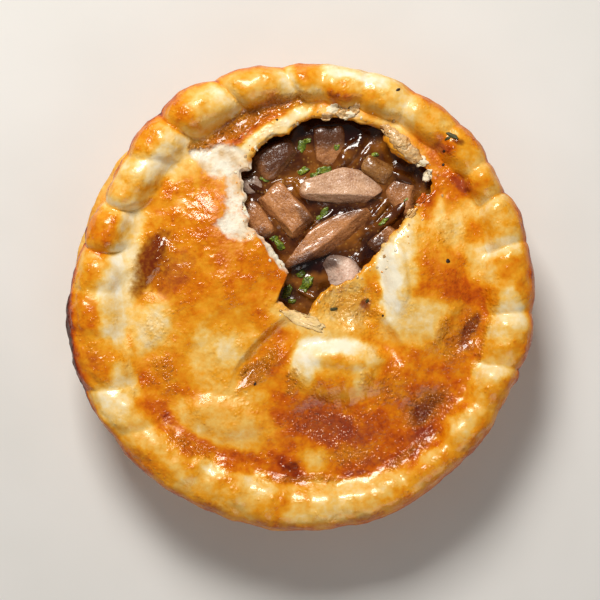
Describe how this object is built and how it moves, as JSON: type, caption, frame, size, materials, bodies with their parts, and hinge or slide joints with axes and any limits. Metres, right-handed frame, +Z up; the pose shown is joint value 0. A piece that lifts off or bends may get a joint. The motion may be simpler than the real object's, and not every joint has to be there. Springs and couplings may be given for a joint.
{
  "type": "steak and kidney pie",
  "caption": "Round baked meat pie with a rope-crimped golden rim and a torn hole in its lid that shows steak, kidney and gravy.",
  "frame": {"origin": "middle of the pie's underside, where it stands", "axes": "+Z up through the lid; +Y towards the side of the lid where the torn hole is; +X to the right seen from the front"},
  "size_m": [0.1716, 0.171, 0.0434],
  "materials": {
    "crust": "egg-washed baked pastry, cream to deep brown, glossy on its high places",
    "gravy": "thick brown gravy, wet and glossy",
    "steak": "stewed beef, moist, fine grained",
    "kidney": "stewed kidney, smooth and moist, slightly mauve"
  },
  "bodies": {
    "root": {"crust": "crust", "gravy": "gravy", "steak_wedge": "steak", "steak_centre": "steak", "steak_left": "steak", "steak_top": "steak", "steak_shaded": "steak", "steak_edge": "steak", "steak_sunk": "steak", "steak_under_lid": "steak", "kidney_round": "kidney", "kidney_piece": "kidney", "kidney_folded": "kidney"}
  },
  "joints": []
}
